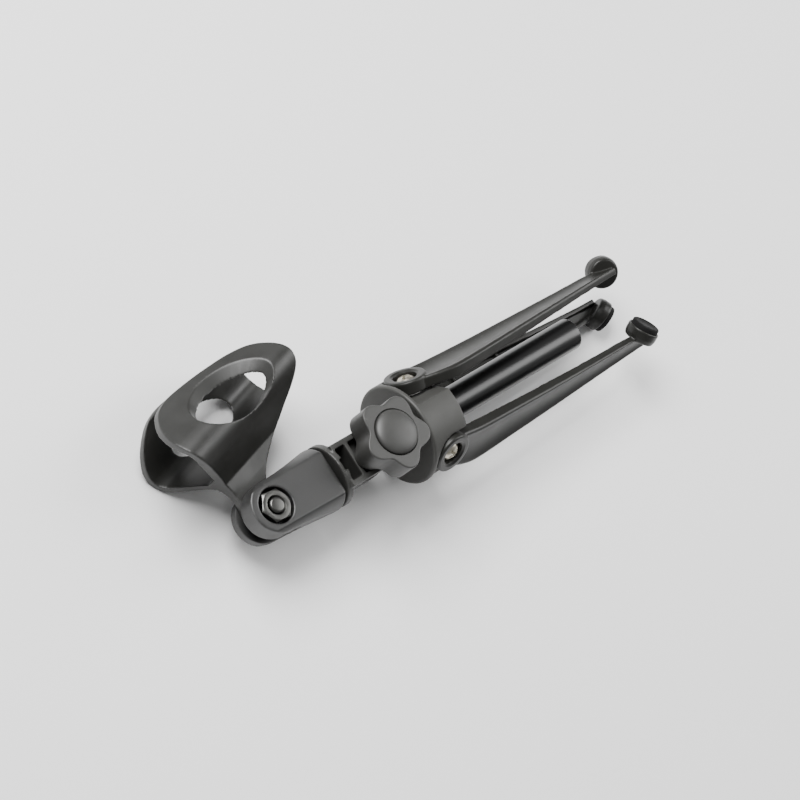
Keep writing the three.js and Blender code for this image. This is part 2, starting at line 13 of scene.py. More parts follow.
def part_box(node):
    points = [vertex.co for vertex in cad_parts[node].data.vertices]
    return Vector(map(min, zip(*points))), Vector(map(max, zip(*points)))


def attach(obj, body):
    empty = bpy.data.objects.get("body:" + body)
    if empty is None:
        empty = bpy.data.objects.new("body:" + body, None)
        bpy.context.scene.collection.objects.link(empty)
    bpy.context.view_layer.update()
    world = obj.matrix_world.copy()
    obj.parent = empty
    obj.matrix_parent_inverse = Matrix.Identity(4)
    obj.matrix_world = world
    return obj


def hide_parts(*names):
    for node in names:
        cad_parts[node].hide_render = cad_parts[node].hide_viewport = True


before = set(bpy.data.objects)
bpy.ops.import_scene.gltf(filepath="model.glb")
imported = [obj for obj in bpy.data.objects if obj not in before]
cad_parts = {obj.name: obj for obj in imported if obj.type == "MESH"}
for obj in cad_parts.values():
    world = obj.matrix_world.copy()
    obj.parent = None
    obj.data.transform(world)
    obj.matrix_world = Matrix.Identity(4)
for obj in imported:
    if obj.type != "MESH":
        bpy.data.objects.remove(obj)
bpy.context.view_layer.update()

# ------------------------------------------------------------------ driving sizes, mm and degrees

MM = 0.001
GAP = 0.3                       # clear space between neighbouring pieces
HUB_RADIUS = 20
HUB_LENGTH = 18
HUB_RIM = 2                     # full-round band in front of the leg pockets
HUB_FLAT = 13.5                 # from the stand axis to each leg flat
LEG_DIRECTIONS = {"a": 60, "b": -60, "c": 180}      # from the knob's side toward +Y
LEG_OVERFOLD = {"a": 4, "b": -1.2, "c": 0.4}        # how far past straight each leg is folded
LEG_PIVOT_X = 10.6
LEG_BOSS_RADIUS = 8.2
LEG_BOSS_TOP = 20.1
LEG_UNDERSIDE = 14.8
LEG_WALL = 1.9
POCKET_CLEARANCE = 0.5          # round the leg boss in the hub's pocket
HUB_SCREW_HOLE = 2.2
LEG_SCREW_HOLE = 2.3
SCREW_SEAT = 17.1               # from the stand axis to the recess under each head
SCREW_SEAT_RADIUS = 4.6
SCREW_SHANK = 1.9
SCREW_HEAD = 4.1
SCREW_DEPTH = 5.4               # how far a screw goes into the hub
PAD_TILT = 62                   # the leg's open angle, which lays the pads flat
FOOT = (129.7, 1.2, 13.8)       # centre of the pad's face on a straight leg
CUP_RADIUS = 6.6
CUP_LENGTH = 5.4
PAD_RADIUS = 5.8
PAD_PROUD = 2
PAD_STEM = 1.2                  # how much thinner the pad's stem is than its face
PAD_STEM_LENGTH = 2.1
PAD_SHOULDER = 0.4
TUBE_RADIUS = 6.5
TUBE_WALL = 1.2
TUBE_END = 97.5
TILT_X = -15                    # tilt axis of the arm
LUG_RADIUS = 8.4
LUG_HALF = 3.9
ARM_HALF_WIDTH = 8.6
ARM_HALF_HEIGHT = 11
ARM_WALL = 2.1
ARM_WEB_X = -29.5
ARM_WEB = 1.7
BOLT_BOSS = 5.4                 # round of plastic left about the clamp bolt
BOLT_HEAD_SEAT = 5.6
FLANGE_RADIUS = 12.3
FLANGE_START = -37
FLANGE_END = -34.2
KNOB_RADIUS = 14.4
KNOB_VALLEY = 11.1
KNOB_LOBES = 5
KNOB_BOTTOM = 11.5
KNOB_TOP = 22.5
KNOB_PHASE = -25
KNOB_STEPS = 240                # points round the knob
KNOB_FULLNESS = 0.12            # how much rounder the lobes are than a plain wave
CAP_SEAT_RADIUS = 8.9
CAP_SEAT_DEPTH = 1.6
CAP_CROWN = 2.3
ADAPTER_END = -38
ADAPTER_RADIUS = 12.4
ADAPTER_FLAT = 8.8
CLIP_X = -66                    # tilt axis of the clip
CLIP_CENTRE_Z = -2.45
CLIP_ANGLE = 16                 # direction of the mic, from +X toward +Y
CLIP_WALL = 3.2
EAR_RADIUS = 10
SLOT_TOP = -0.2
SLOT_BOTTOM = -4.7
BOLT_RADIUS = 3.1
NUT_RADIUS = 6.4
NUT_POCKET_RADIUS = 6.9
NUT_POCKET_DEPTH = 4.6
HEAD_POCKET_DEPTH = 2.2
INSERT_RADIUS = 7
INSERT_END = -53
CLIP_SHRINK = 0.999             # keeps the smoothed wings inside the plain clip's box
TONGUE_HALF = 2
WING_WIDEST = 18
THROUGH = 30                    # a cutter this long goes right through any piece it meets
CURVE_STEPS = 8                 # points in each stretch of a smooth curve

hub_low, hub_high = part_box("hub")
STAND = Matrix.Translation((
    hub_low[0],
    (hub_low[1] + hub_high[1]) / 2,
    (hub_low[2] + hub_high[2]) / 2,
))


# ------------------------------------------------------------------ solid helpers

def turn(axis, angle):
    return Matrix.Rotation(math.radians(angle), 4, axis)


def shift(x=0, y=0, z=0):
    return Matrix.Translation((x, y, z))


def solid(vertices, faces, matrix=Matrix.Identity(4)):
    """A closed mesh object in millimetres, with its faces pointing out."""
    mesh = bpy.data.meshes.new("solid")
    mesh.from_pydata([matrix @ Vector(v) for v in vertices], [], faces)
    shape = bmesh.new()
    shape.from_mesh(mesh)
    bmesh.ops.recalc_face_normals(shape, faces=shape.faces)
    shape.to_mesh(mesh)
    shape.free()
    made = bpy.data.objects.new("solid", mesh)
    bpy.context.collection.objects.link(made)
    return made


def rings_solid(rings, matrix=Matrix.Identity(4), closed=False):
    """Skin through rings with equal counts, capped at both ends unless the rings close up."""
    count = len(rings[0])
    vertices = [point for ring in rings for point in ring]
    faces = []
    spans = len(rings) if closed else len(rings) - 1
    for s in range(spans):
        here = s * count
        there = ((s + 1) % len(rings)) * count
        for i in range(count):
            j = (i + 1) % count
            faces.append((here + i, here + j, there + j, there + i))
    if not closed:
        for start in (0, (len(rings) - 1) * count):
            ring = [Vector(vertices[start + i]) for i in range(count)]
            faces += [tuple(start + i for i in face) for face in tessellate_polygon([ring])]
    return solid(vertices, faces, matrix)


def circle(radius, height, steps):
    """Ring of points round Z."""
    return [
        (radius * math.cos(2 * math.pi * i / steps), radius * math.sin(2 * math.pi * i / steps), height)
        for i in range(steps)
    ]


def turned(points, steps=96, matrix=Matrix.Identity(4)):
    """Turned shape round Z from (radius, height) points, the first and last on the axis."""
    rings = [circle(radius, height, steps) for radius, height in points[1:-1]]
    vertices = [point for ring in rings for point in ring]
    faces = []
    for s in range(len(rings) - 1):
        for i in range(steps):
            j = (i + 1) % steps
            faces.append((s * steps + i, s * steps + j, (s + 1) * steps + j, (s + 1) * steps + i))
    for start, tip_point in ((0, points[0]), ((len(rings) - 1) * steps, points[-1])):
        vertices.append((0, 0, tip_point[1]))
        tip = len(vertices) - 1
        faces += [(start + i, start + (i + 1) % steps, tip) for i in range(steps)]
    return solid(vertices, faces, matrix)


def along_x(matrix=Matrix.Identity(4)):
    """Stands a shape made round Z along the stand axis instead."""
    return matrix @ turn("Y", 90)


def bar(radius, start, end, matrix=Matrix.Identity(4), steps=96):
    return turned([(0, start), (radius, start), (radius, end), (0, end)], steps, matrix)


def prism(outline, low, high, matrix=Matrix.Identity(4)):
    rings = [[(x, y, z) for x, y in outline] for z in (low, high)]
    return rings_solid(rings, matrix)


def block(x, y, z, matrix=Matrix.Identity(4)):
    outline = [(x[0], y[0]), (x[1], y[0]), (x[1], y[1]), (x[0], y[1])]
    return prism(outline, z[0], z[1], matrix)


def arc(centre, radius, start, end, steps=6):
    """Points of a round stretch, angles in degrees."""
    angles = [math.radians(start + (end - start) * i / steps) for i in range(steps + 1)]
    return [(centre[0] + radius * math.cos(a), centre[1] + radius * math.sin(a)) for a in angles]


def hexagon(radius, angle=0):
    corners = [math.radians(60 * i + angle) for i in range(6)]
    return [(radius * math.cos(a), radius * math.sin(a)) for a in corners]


def settle(shape):
    """Applies an object's modifiers to its mesh."""
    graph = bpy.context.evaluated_depsgraph_get()
    mesh = bpy.data.meshes.new_from_object(shape.evaluated_get(graph))
    shape.modifiers.clear()
    old = shape.data
    shape.data = mesh
    bpy.data.meshes.remove(old)
    return shape


def combine(body, others, operation):
    """Joins solids to a body or cuts them from it; the others are used up."""
    for other in others:
        step = body.modifiers.new("combine", "BOOLEAN")
        step.operation = operation
        step.solver = "MANIFOLD"
        step.object = other
        settle(body)
        bpy.data.objects.remove(other)
    return body


def join(body, *others):
    return combine(body, others, "UNION")


def cut(body, *others):
    return combine(body, others, "DIFFERENCE")


def soften(shape, grain=0.4, passes=4):
    """Moulded look: an even skin of small faces, its edges rounded off by about one grain."""
    skin = shape.modifiers.new("skin", "REMESH")
    skin.mode = "VOXEL"
    skin.voxel_size = grain
    skin.use_smooth_shade = True
    relax = shape.modifiers.new("relax", "SMOOTH")
    relax.factor = 0.5
    relax.iterations = passes
    return settle(shape)


def break_edges(shape, width=0.25, angle=28):
    """Small rounded edges on a machined piece."""
    step = shape.modifiers.new("edges", "BEVEL")
    step.width = width
    step.segments = 3
    step.limit_method = "ANGLE"
    step.angle_limit = math.radians(angle)
    return settle(shape)


def spline_point(a, b, c, d, t):
    """Catmull-Rom value between b and c, t going from 0 to 1."""
    slope = c - a
    square = 2 * a - 5 * b + 4 * c - d
    cube = 3 * b - a - 3 * c + d
    return 0.5 * (2 * b + slope * t + square * t ** 2 + cube * t ** 3)


def spline(points, steps, closed=False):
    """Smooth curve through points of any dimension, with equal steps in each stretch."""
    count = len(points)
    stretches = count if closed else count - 1
    out = []
    for s in range(stretches):
        if closed:
            p = [points[(s + k) % count] for k in (-1, 0, 1, 2)]
        else:
            p = [points[min(max(s + k, 0), count - 1)] for k in (-1, 0, 1, 2)]
        for i in range(steps):
            t = i / steps
            out.append(tuple(spline_point(a, b, c, d, t) for a, b, c, d in zip(*p)))
    if not closed:
        out.append(tuple(points[-1]))
    return out


def finish_piece(shape, name, body, node, slot, material, smooth_angle=35):
    """Puts a shape in the frame, names it, and says what it moves with."""
    shape.data.transform(STAND @ Matrix.Scale(MM, 4))
    shape.name = name
    shape.data.name = name
    shape.data.materials.clear()
    shape.data.materials.append(material)
    for polygon in shape.data.polygons:
        polygon.material_index = 0
        polygon.use_smooth = True
    shape.data.set_sharp_from_angle(angle=math.radians(smooth_angle))
    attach(shape, body)
    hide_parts(node)


# ------------------------------------------------------------------ materials

DRIFT_SIZE = 9                  # mm, size of the slow change in colour and sheen
DRIFT_RANGE = (0.3, 0.7)        # part of the noise that the change is spread over
DARK_SHARE = 0.86               # the darkest tone, as a share of the colour
WORN_RANGE = (0.52, 0.62)       # pointiness at which wear starts and is full
WORN_GAIN = 2.2                 # how much brighter a worn edge is
WORN_LIFT = 0.02
BUMP_STRENGTH = 0.6


def surface(
    name, colour, roughness, grain_size, grain_depth,
    wear=0.25, metal=0.0, gleam=0.5, vary=0.12,
):
    """A surface with fine grain, uneven sheen, slight colour drift and lighter worn edges.

    grain_size is in mm and grain_depth in micrometres."""
    material = bpy.data.materials.new(name)
    material.use_nodes = True
    nodes = material.node_tree.nodes
    links = material.node_tree.links
    shader = nodes["Principled BSDF"]
    shader.inputs["Metallic"].default_value = metal
    shader.inputs["Specular IOR Level"].default_value = gleam
    place = nodes.new("ShaderNodeTexCoord")

    grain = nodes.new("ShaderNodeTexNoise")
    grain.inputs["Scale"].default_value = 1 / (grain_size * MM)
    grain.inputs["Detail"].default_value = 3
    links.new(place.outputs["Object"], grain.inputs["Vector"])
    bump = nodes.new("ShaderNodeBump")
    bump.inputs["Strength"].default_value = BUMP_STRENGTH
    bump.inputs["Distance"].default_value = grain_depth * MM * MM
    links.new(grain.outputs["Fac"], bump.inputs["Height"])
    links.new(bump.outputs["Normal"], shader.inputs["Normal"])

    drift = nodes.new("ShaderNodeTexNoise")
    drift.inputs["Scale"].default_value = 1 / (DRIFT_SIZE * MM)
    drift.inputs["Detail"].default_value = 4
    links.new(place.outputs["Object"], drift.inputs["Vector"])
    sheen = nodes.new("ShaderNodeMapRange")
    sheen.inputs["From Min"].default_value = DRIFT_RANGE[0]
    sheen.inputs["From Max"].default_value = DRIFT_RANGE[1]
    sheen.inputs["To Min"].default_value = roughness * (1 - vary)
    sheen.inputs["To Max"].default_value = roughness * (1 + vary)
    links.new(drift.outputs["Fac"], sheen.inputs["Value"])
    links.new(sheen.outputs["Result"], shader.inputs["Roughness"])

    shades = nodes.new("ShaderNodeValToRGB")
    dark = [c * DARK_SHARE for c in colour]
    for stop, position, tone in zip(shades.color_ramp.elements, DRIFT_RANGE, (dark, colour)):
        stop.position = position
        stop.color = (*tone, 1)
    links.new(drift.outputs["Fac"], shades.inputs["Fac"])

    edges = nodes.new("ShaderNodeNewGeometry")
    worn = nodes.new("ShaderNodeMapRange")
    worn.inputs["From Min"].default_value = WORN_RANGE[0]
    worn.inputs["From Max"].default_value = WORN_RANGE[1]
    worn.inputs["To Max"].default_value = wear
    links.new(edges.outputs["Pointiness"], worn.inputs["Value"])
    mixed = nodes.new("ShaderNodeMix")
    mixed.data_type = "RGBA"
    bare = [min(1, c * WORN_GAIN + WORN_LIFT) for c in colour]
    mixed.inputs["B"].default_value = (*bare, 1)
    links.new(worn.outputs["Result"], mixed.inputs["Factor"])
    links.new(shades.outputs["Color"], mixed.inputs["A"])
    links.new(mixed.outputs["Result"], shader.inputs["Base Color"])
    return material


def make_materials():
    """Every look: its name, colour, roughness, grain size and grain depth."""
    return {
        "charcoal": surface("charcoal_moulding", (0.036, 0.036, 0.033), 0.55, 0.35, 24),
        "knob": surface("knob_moulding", (0.033, 0.033, 0.031), 0.45, 0.3, 8),
        "leg": surface("leg_moulding", (0.013, 0.013, 0.0115), 0.38, 0.4, 7, gleam=0.3),
        "clip": surface("clip_moulding", (0.014, 0.014, 0.0125), 0.42, 0.35, 9),
        "adapter": surface("adapter_moulding", (0.022, 0.022, 0.0215), 0.42, 0.35, 9),
        "tube": surface("gloss_tube", (0.004, 0.004, 0.004), 0.3, 2.5, 0.2, wear=0.01, vary=0.03),
        "nickel": surface("nickel_plate", (0.5, 0.47, 0.4), 0.3, 0.2, 3, metal=1.0),
        "steel": surface("dark_steel", (0.11, 0.11, 0.105), 0.32, 0.25, 5, metal=1.0),
        "brass": surface("turned_brass", (0.69, 0.5, 0.22), 0.3, 0.3, 4, metal=1.0),
        "rubber": surface("black_rubber", (0.005, 0.005, 0.0048), 0.8, 0.25, 20, gleam=0.18),
        "nylon": surface("natural_nylon", (0.5, 0.5, 0.47), 0.5, 0.4, 6),
    }


# ------------------------------------------------------------------ hub

def make_hub():
    edge = 0.9
    body = turned([
        (0, 0),
        *arc((HUB_RADIUS - edge, edge), edge, -90, 0),
        *arc((HUB_RADIUS - edge, HUB_LENGTH - edge), edge, 0, 90),
        (0, HUB_LENGTH),
    ], 180, along_x())
    pocket_radius = LEG_BOSS_RADIUS + POCKET_CLEARANCE
    outline = [
        *arc((LEG_PIVOT_X, 0), pocket_radius, 90, 180, 30),
        (HUB_RIM, -HUB_RADIUS),
        (HUB_LENGTH + 2, -HUB_RADIUS),
        (HUB_LENGTH + 2, pocket_radius),
    ]
    cutters = [bar(TUBE_RADIUS + GAP, -1, HUB_LENGTH + 1, along_x())]
    for direction in LEG_DIRECTIONS.values():
        place = turn("X", -direction)
        cutters.append(prism(outline, HUB_FLAT, HUB_RADIUS + 2, place))
        cutters.append(bar(HUB_SCREW_HOLE, HUB_FLAT - 6, HUB_FLAT + 1, place @ shift(LEG_PIVOT_X), 40))
    return soften(cut(body, *cutters), grain=0.38, passes=3)


# ------------------------------------------------------------------ legs

# Distance along the leg, sideways centre, half width, outer height, inner height.
LEG_STATIONS = [
    (12, -0.2, 7.6, 19.5, LEG_UNDERSIDE),
    (19, -2.6, 8.6, 19.4, LEG_UNDERSIDE),
    (28, -4.4, 8.8, 19.2, 14.2),
    (48, -5, 7.6, 18.5, 14),
    (72, -5.3, 6.2, 17.8, 13.7),
    (96, -5.4, 4.9, 17, 13.4),
    (118, -5.4, 3.9, 16.3, 13),
    (129, -6.2, 2.9, 15.8, 12.9),
]
CHANNEL_DEPTH = 1.6
LEG_INSET = 0.12                # keeps the rounded ribs inside the plain leg's box
RIB_PLACE = 0.84                # top of each edge rib, as a share of the half width
RIB_FALL = 0.9                  # drop from the top of a rib to the leg's side
HOLLOW_ROOF = 0.42              # roof of the hollow, as a share of the leg's thickness
LEG_DRAFT = 0.3                 # how much the hollow narrows toward its roof
CROSS_RIB_HALF = 0.6


def leg_section(station):
    """Two rounded edge ribs, a broad channel between them, hollow underneath."""
    x, centre, half, outer, inner = station
    steps = 40
    depth = CHANNEL_DEPTH * min(1, half / 8)
    top = []
    for i in range(steps + 1):
        across = -1 + 2 * i / steps
        share = abs(across) / RIB_PLACE
        if share < 1:
            drop = depth * (1 - share ** 2)
        else:
            drop = RIB_FALL * ((share - 1) / (1 / RIB_PLACE - 1)) ** 2
        top.append((x, centre + across * half, outer - LEG_INSET - drop))
    under = inner + (outer - inner) * HOLLOW_ROOF
    hollow = max(half - LEG_WALL, 0.4)
    low = [
        (x, centre + half, inner),
        (x, centre + hollow, inner),
        (x, centre + hollow - LEG_DRAFT, under),
        (x, centre - hollow + LEG_DRAFT, under),
        (x, centre - hollow, inner),
        (x, centre - half, inner),
    ]
    return top + low


def foot_frame():
    """Turns a shape made round Z so that Z is the way the pad faces on the folded leg."""
    return shift(*FOOT) @ turn("Z", PAD_TILT - 90) @ turn("X", -90)


def leg_place(letter, swings=True):
    fold = Matrix.Identity(4)
    if swings:
        fold = shift(LEG_PIVOT_X) @ turn("Z", LEG_OVERFOLD[letter]) @ shift(-LEG_PIVOT_X)
    return turn("X", -LEG_DIRECTIONS[letter]) @ fold


def make_leg():
    edge = 0.9
    dish = 5.2
    pivot = shift(LEG_PIVOT_X)
    boss = turned([
        (0, LEG_UNDERSIDE),
        (LEG_BOSS_RADIUS, LEG_UNDERSIDE),
        *arc((LEG_BOSS_RADIUS - edge, LEG_BOSS_TOP - edge), edge, 0, 90),
        (dish + 0.4, LEG_BOSS_TOP),
        (dish, LEG_BOSS_TOP - 0.5),
        (0, LEG_BOSS_TOP - 0.5),
    ], 96, pivot)
    beam = rings_solid([leg_section(station) for station in spline(LEG_STATIONS, CURVE_STEPS)])
    cup_back = -PAD_PROUD - CUP_LENGTH
    cup = turned([
        (0, cup_back),
        *arc((CUP_RADIUS - 1.4, cup_back + 1.1), 1.1, -90, 0),
        (CUP_RADIUS, cup_back + 2.2),
        (CUP_RADIUS, -PAD_PROUD - PAD_SHOULDER),
        (CUP_RADIUS - 0.3, -PAD_PROUD),
        (0, -PAD_PROUD),
    ], 96, foot_frame())
    pad_seat = bar(PAD_RADIUS + 0.1, -PAD_PROUD - 0.7, 1, foot_frame())
    stem_seat = bar(PAD_RADIUS - 0.9, -PAD_PROUD - 2.4, 1, foot_frame())
    screw_hole = bar(LEG_SCREW_HOLE, 0, THROUGH, pivot, 48)
    head_seat = bar(SCREW_SEAT_RADIUS, SCREW_SEAT, THROUGH, pivot, 72)
    leg = join(beam, boss, cup)
    for x, centre, half, outer, inner in LEG_STATIONS[3:6]:
        reach = half - LEG_WALL + 0.6
        along = (x - CROSS_RIB_HALF, x + CROSS_RIB_HALF)
        join(leg, block(along, (centre - reach, centre + reach), (inner + 0.4, outer - 2)))
    return soften(cut(leg, pad_seat, stem_seat, screw_hole, head_seat), grain=0.3, passes=2)


def make_foot_pad():
    edge = 0.7
    stem_end = -PAD_PROUD - PAD_STEM_LENGTH
    return turned([
        (0, stem_end),
        (PAD_RADIUS - PAD_STEM, stem_end),
        (PAD_RADIUS - PAD_STEM, -PAD_PROUD - PAD_SHOULDER),
        (PAD_RADIUS, -PAD_PROUD - PAD_SHOULDER),
        *arc((PAD_RADIUS - edge, -edge), edge, 0, 90),
        (PAD_RADIUS - 2.2, 0),
        (PAD_RADIUS - 2.5, -0.15),
        (0, -0.15),
    ], 96, foot_frame())


def make_leg_screw():
    seat = SCREW_SEAT + GAP
    place = shift(LEG_PIVOT_X)
    head = turned([
        (0, HUB_FLAT - SCREW_DEPTH),
        (SCREW_SHANK - 0.3, HUB_FLAT - SCREW_DEPTH),
        (SCREW_SHANK, HUB_FLAT - SCREW_DEPTH + 0.4),
        (SCREW_SHANK, seat),
        (SCREW_HEAD - 0.2, seat),
        (SCREW_HEAD, seat + 0.5),
        *arc((0, seat - 2.4), 4.9, 38, 80, 8),
        (0, seat + 2.45),
    ], 72, place)
    long, wide = 2.5, 0.7
    arms = []
    for angle in (35, 125):
        taper = [(-long, -wide), (long, -wide), (long, wide), (-long, wide)]
        low = [(x * 0.7, y * 0.75, seat + 0.2) for x, y in taper]
        high = [(x, y, seat + 3.4) for x, y in taper]
        arms.append(rings_solid([low, high], place @ turn("Z", angle)))
    return break_edges(cut(head, *arms), 0.08)


# ------------------------------------------------------------------ tube, arm and knob

def make_tube():
    inner = TUBE_RADIUS - TUBE_WALL
    edge = 0.5
    profile = [
        (inner, -GAP),
        *[(TUBE_RADIUS, x - GAP) for x in range(0, 96, 4)],
        *arc((TUBE_RADIUS - edge, TUBE_END - edge), edge, 0, 90),
        (inner, TUBE_END),
    ]
    rings = [circle(radius, height, 128) for radius, height in profile]
    return rings_solid(rings, along_x(), closed=True)


def make_arm():
    tilt = shift(TILT_X)
    outline = [
        (FLANGE_END - 1, -ARM_HALF_WIDTH),
        *arc((TILT_X, 0), ARM_HALF_WIDTH, -90, 90, 40),
        (FLANGE_END - 1, ARM_HALF_WIDTH),
    ]
    body = prism(outline, -ARM_HALF_HEIGHT, ARM_HALF_HEIGHT)
    flange = bar(FLANGE_RADIUS, FLANGE_START, FLANGE_END, along_x(), 128)
    slot_end = TILT_X - LUG_RADIUS - 1
    inner = ARM_HALF_WIDTH - ARM_WALL
    pocket = cut(
        block((ARM_WEB_X + ARM_WEB, TILT_X - 1), (-inner, inner), (LUG_HALF + 3, THROUGH)),
        bar(BOLT_BOSS, 0, THROUGH + 1, tilt),
    )
    cutters = [
        block((slot_end, 0), (-12, 12), (-LUG_HALF - GAP, LUG_HALF + GAP)),
        block((FLANGE_END, ARM_WEB_X), (-inner, inner), (-ARM_HALF_HEIGHT + 2.5, THROUGH)),
        pocket,
        block((ARM_WEB_X + ARM_WEB, slot_end - 1.4), (-inner, inner), (-6, THROUGH)),
        block((FLANGE_END - 1.2, FLANGE_END + 1), (-2, 2.6), (ARM_HALF_HEIGHT - 5, THROUGH)),
        bar(BOLT_RADIUS + GAP, -THROUGH, THROUGH, tilt, 48),
        prism(hexagon(BOLT_HEAD_SEAT), -ARM_HALF_HEIGHT - 1, -ARM_HALF_HEIGHT + 3.2, tilt),
    ]
    return soften(cut(join(body, flange), *cutters), grain=0.34, passes=3)


def lobed(inset, height, roundness=1.0):
    """Ring of the knob's outline, moved in by inset; at roundness 0 it is the cap seat's circle."""
    middle = (KNOB_RADIUS + KNOB_VALLEY) / 2
    swing = (KNOB_RADIUS - KNOB_VALLEY) / 2
    ring = []
    for i in range(KNOB_STEPS):
        angle = 2 * math.pi * i / KNOB_STEPS
        wave = math.cos(KNOB_LOBES * angle)
        radius = middle + swing * (wave + KNOB_FULLNESS * (1 - wave * wave)) - inset
        radius = CAP_SEAT_RADIUS + (radius - CAP_SEAT_RADIUS) * roundness
        at = angle + math.radians(KNOB_PHASE)
        ring.append((radius * math.cos(at), radius * math.sin(at), height))
    return ring


def make_knob():
    edge = 0.6
    seat = KNOB_TOP - CAP_SEAT_DEPTH
    phase = turn("Z", KNOB_PHASE)

    def round_ring(radius, height):
        return [tuple(phase @ Vector(point)) for point in circle(radius, height, KNOB_STEPS)]

    rings = [lobed(edge * 0.5, KNOB_BOTTOM), lobed(0, KNOB_BOTTOM + edge * 0.5)]
    rings += [lobed(0, KNOB_BOTTOM + 3), lobed(0, KNOB_TOP - edge - 2.4)]
    for i in range(9):
        angle = math.radians(90 * i / 8)
        inset = edge * (1 - math.cos(angle))
        rings.append(lobed(inset, KNOB_TOP - edge + edge * math.sin(angle)))
    rings += [lobed(edge, KNOB_TOP, share) for share in (0.75, 0.45, 0.2)]
    rings.append(round_ring(CAP_SEAT_RADIUS + 0.25, KNOB_TOP))
    rings.append(round_ring(CAP_SEAT_RADIUS, KNOB_TOP - 0.25))
    rings.append(round_ring(CAP_SEAT_RADIUS, seat))
    rings.append(round_ring(BOLT_RADIUS + GAP, seat))
    rings.append(round_ring(BOLT_RADIUS + GAP, KNOB_BOTTOM + 5))
    rings.append(round_ring(BOLT_RADIUS + GAP, KNOB_BOTTOM))
    return rings_solid(rings, shift(TILT_X), closed=True)


def make_knob_cap():
    seat = KNOB_TOP - CAP_SEAT_DEPTH + GAP
    rim = CAP_SEAT_RADIUS - GAP
    dome = []
    for i in range(1, 24):
        angle = math.radians(90 * i / 24)
        dome.append((rim * math.cos(angle) ** 0.9, KNOB_TOP + CAP_CROWN * math.sin(angle)))
    return turned([
        (0, seat),
        (rim, seat),
        (rim, KNOB_TOP - 0.3),
        *dome,
        (0, KNOB_TOP + CAP_CROWN),
    ], 160, shift(TILT_X))


# ------------------------------------------------------------------ adapter, bolt and nut

def make_adapter():
    start = CLIP_X - 14
    body = turned([
        (0, start),
        (ADAPTER_RADIUS - 0.6, start),
        (ADAPTER_RADIUS, ADAPTER_END - 0.8),
        (ADAPTER_RADIUS - 0.6, ADAPTER_END),
        (0, ADAPTER_END),
    ], 180, along_x())
    side = spline([
        (CLIP_X, -EAR_RADIUS),
        (CLIP_X + 9, -EAR_RADIUS - 0.5),
        (CLIP_X + 18, -EAR_RADIUS - 1.4),
        (ADAPTER_END + 2, -ADAPTER_RADIUS - 0.6),
    ], 10)
    outline = [
        *arc((CLIP_X, 0), EAR_RADIUS, 90, 270, 60),
        *side[1:],
        *[(x, -y) for x, y in reversed(side[1:])],
    ]
    slab = prism(outline, -ADAPTER_FLAT, ADAPTER_FLAT)
    body = combine(body, [slab], "INTERSECT")
    clip_axis = shift(CLIP_X)
    outside = 20
    return soften(cut(
        body,
        block((CLIP_X - outside, CLIP_X + 9.5), (-14, 14), (SLOT_BOTTOM, SLOT_TOP)),
        bar(BOLT_RADIUS + GAP, -outside, outside, clip_axis, 48),
        bar(NUT_POCKET_RADIUS, ADAPTER_FLAT - NUT_POCKET_DEPTH, outside, clip_axis),
        bar(NUT_POCKET_RADIUS, -outside, -ADAPTER_FLAT + HEAD_POCKET_DEPTH, clip_axis),
        bar(INSERT_RADIUS + GAP, INSERT_END, 0, along_x()),
    ), grain=0.34, passes=3)


def make_clip_nut():
    seat = ADAPTER_FLAT - NUT_POCKET_DEPTH + GAP
    top = ADAPTER_FLAT + 0.1
    place = shift(CLIP_X)
    nut = prism(hexagon(NUT_RADIUS, -4), seat, top, place)
    chamfer = turned([
        (0, seat - 1),
        (NUT_RADIUS + 2, seat - 1),
        (NUT_RADIUS + 2, top - 1.6),
        (NUT_RADIUS - 1, top),
        (0, top),
    ], 96, place)
    nut = combine(nut, [chamfer], "INTERSECT")
    bore = turned([
        (0, seat - 1),
        (BOLT_RADIUS + 0.15, seat - 1),
        (BOLT_RADIUS + 0.15, top - 0.5),
        (BOLT_RADIUS + 0.75, top + 0.1),
        (0, top + 0.1),
    ], 72, place)
    return break_edges(cut(nut, bore), 0.12)


def make_clip_bolt():
    place = shift(CLIP_X)
    tip = ADAPTER_FLAT + 0.9
    head = prism(hexagon(NUT_RADIUS, 12), -ADAPTER_FLAT - 1, -ADAPTER_FLAT + 1.9, place)
    shank = turned([
        (0, -ADAPTER_FLAT + 1),
        (BOLT_RADIUS - 0.1, -ADAPTER_FLAT + 1),
        *arc((BOLT_RADIUS - 1, tip - 0.9), 0.9, 0, 90),
        (0, tip),
    ], 72, place)
    return break_edges(join(head, shank), 0.2)


# ------------------------------------------------------------------ mic clip

# Outer face of a wing: height above the tilt axis, distance from the middle plane.
WING_PROFILE = [
    (17.5, 3.1), (20.5, 6.3), (23.7, 10.2), (26.8, 13.9), (30, 16.8), (33.2, 18), (36.4, 17.8),
    (39.6, 16.3), (43, 13.8), (46.5, 11), (50, 8.2), (54.5, 5),
]

# Outline seen along the tilt axis: distance along the mic, height above the axis.
CLIP_OUTLINE = [
    (-6.6, 0), (-6.2, 4.5), (-4.4, 9), (-3.6, 14), (-4.6, 19.5), (-8.4, 25.4), (-11.6, 30.5),
    (-13.4, 36.5), (-13.4, 41.5), (-11.2, 46.4), (-7.4, 50.2), (-2.6, 52.8), (4, 53.6), (14, 52.6),
    (24, 50.9), (33, 48.8), (40.5, 45.6), (45.2, 40.6), (47.4, 34.6), (46.4, 29), (42, 24.9),
    (36.6, 21.9), (30.4, 18.6), (23.6, 15.6), (16.6, 12.1), (10.8, 8), (7.2, 3.6), (6.2, -1),
    (4.6, -4.6), (0, -6.6), (-4.6, -4.8),
]
THROAT_HEIGHT = 21.5
LEAST_HALF_GAP = 1.2            # the wings' inner faces stop this close to the middle plane
CLIP_REACH = (-25, 55)          # along the mic, past both ends of the outline

